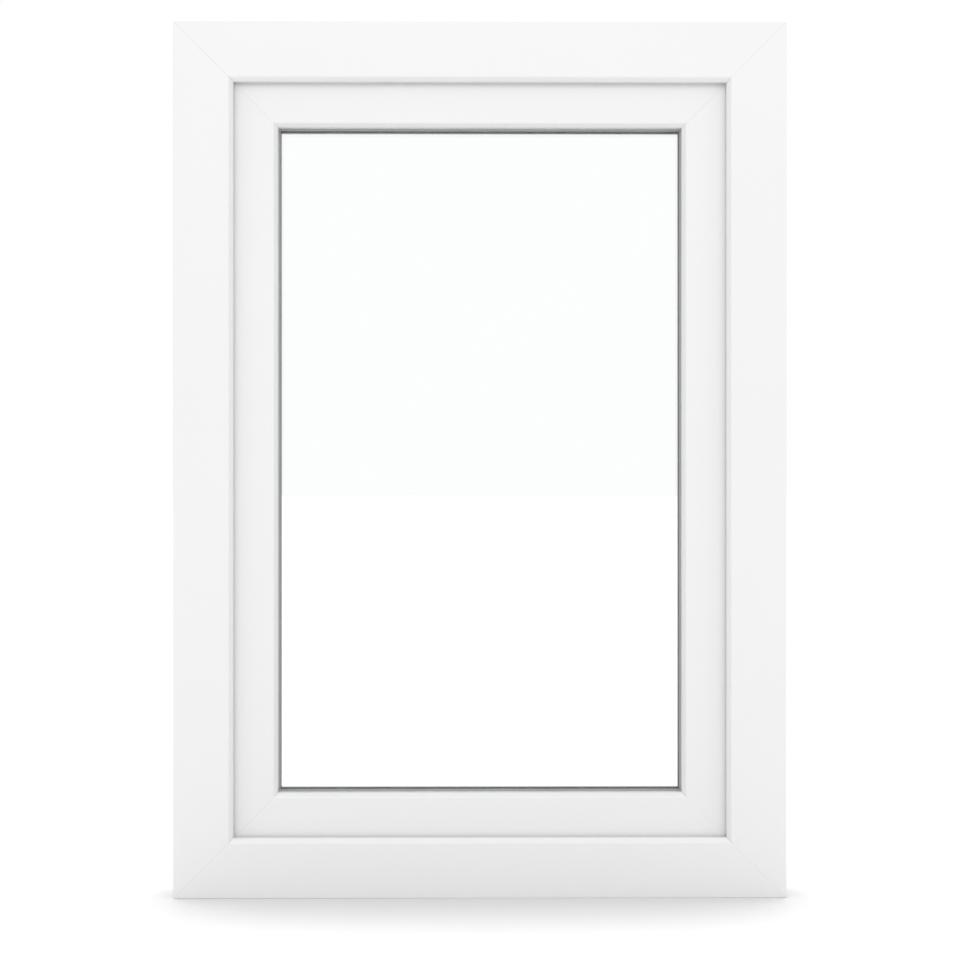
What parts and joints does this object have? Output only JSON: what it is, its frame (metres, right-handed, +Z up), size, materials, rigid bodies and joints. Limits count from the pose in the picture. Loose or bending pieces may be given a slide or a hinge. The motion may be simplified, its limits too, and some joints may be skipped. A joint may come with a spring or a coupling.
{
  "type": "casement window",
  "caption": "White PVC side-hung casement window: mitred outer frame, recessed sash with double glazing, hidden locking gear, lever handle and hinges on the room side.",
  "frame": {"origin": "middle of the outer frame's underside, at half the frame's depth", "axes": "+Z up, +Y into the room, -Y outdoors, +X to the right seen from outdoors"},
  "size_m": [0.7, 0.1275, 1],
  "materials": {
    "white_pvc": "smooth satin extruded",
    "grey_seal": "matte extruded",
    "galvanised_steel": "galvanised",
    "bright_steel": "zinc plated, brushed",
    "die_cast_zinc": "die cast, satin",
    "white_coated_metal": "white powder coat",
    "black_spacer": "matte",
    "black_sealant": "matte",
    "block_plastic": "ribbed, matte",
    "clear_glass": "clear float glass"
  },
  "bodies": {
    "frame": {"frame_sill": "white_pvc", "frame_head": "white_pvc", "frame_hinge_jamb": "white_pvc", "frame_lock_jamb": "white_pvc", "frame_sill_steel": "galvanised_steel", "frame_head_steel": "galvanised_steel", "frame_hinge_jamb_steel": "galvanised_steel", "frame_lock_jamb_steel": "galvanised_steel", "frame_seal": "grey_seal", "keeper_top": "die_cast_zinc", "keeper_middle": "die_cast_zinc", "keeper_bottom": "die_cast_zinc", "hinge_lower_frame_bracket": "white_coated_metal", "hinge_upper_frame_bracket": "white_coated_metal", "hinge_lower_frame_cover": "white_pvc", "hinge_upper_frame_cover": "white_pvc", "hinge_lower_pin": "bright_steel", "hinge_upper_pin": "bright_steel"},
    "sash": {"sash_bottom_rail": "white_pvc", "sash_top_rail": "white_pvc", "sash_hinge_stile": "white_pvc", "sash_lock_stile": "white_pvc", "sash_bottom_rail_steel": "galvanised_steel", "sash_top_rail_steel": "galvanised_steel", "sash_hinge_stile_steel": "galvanised_steel", "sash_lock_stile_steel": "galvanised_steel", "sash_seal": "grey_seal", "glass_outer_pane": "clear_glass", "glass_inner_pane": "clear_glass", "glass_spacer": "black_spacer", "glass_edge_sealant": "black_sealant", "glass_outer_gasket": "grey_seal", "glass_bead_gasket": "grey_seal", "bead_bottom": "white_pvc", "bead_top": "white_pvc", "bead_hinge_side": "white_pvc", "bead_lock_side": "white_pvc", "block_bottom_hinge_corner": "block_plastic", "block_bottom_lock_corner": "block_plastic", "block_hinge_side_low": "block_plastic", "block_lock_side_high": "block_plastic", "hinge_lower_sash_bracket": "white_coated_metal", "hinge_upper_sash_bracket": "white_coated_metal", "hinge_lower_sash_cover": "white_pvc", "hinge_upper_sash_cover": "white_pvc", "lock_faceplate": "bright_steel", "gear_case": "die_cast_zinc", "handle_base": "die_cast_zinc", "handle_cap": "white_coated_metal", "handle_upper_screw": "bright_steel", "handle_lower_screw": "bright_steel"},
    "handle": {"handle_lever": "white_coated_metal", "handle_spindle": "bright_steel", "drive_pinion": "bright_steel"},
    "drive": {"drive_rod": "bright_steel", "cam_top": "bright_steel", "cam_middle": "bright_steel", "cam_bottom": "bright_steel"}
  },
  "joints": [
    {"name": "sash_hinge", "type": "hinge", "parent": "frame", "child": "sash", "pos_m": [-0.319, 0.0435, 0.5], "axis": [0, 0, 1], "range_deg": [0, 90]},
    {"name": "handle_turn", "type": "hinge", "parent": "sash", "child": "handle", "pos_m": [0.274, 0.0505, 0.5], "axis": [0, 1, 0], "range_deg": [-180, 0]},
    {"name": "rod_slide", "type": "slide", "parent": "sash", "child": "drive", "axis": [0, 0, 1], "range_m": [0, 0.03142]}
  ],
  "couplings": [
    {"joint": "rod_slide", "follows": "handle_turn", "m_per_rad": -0.01}
  ]
}
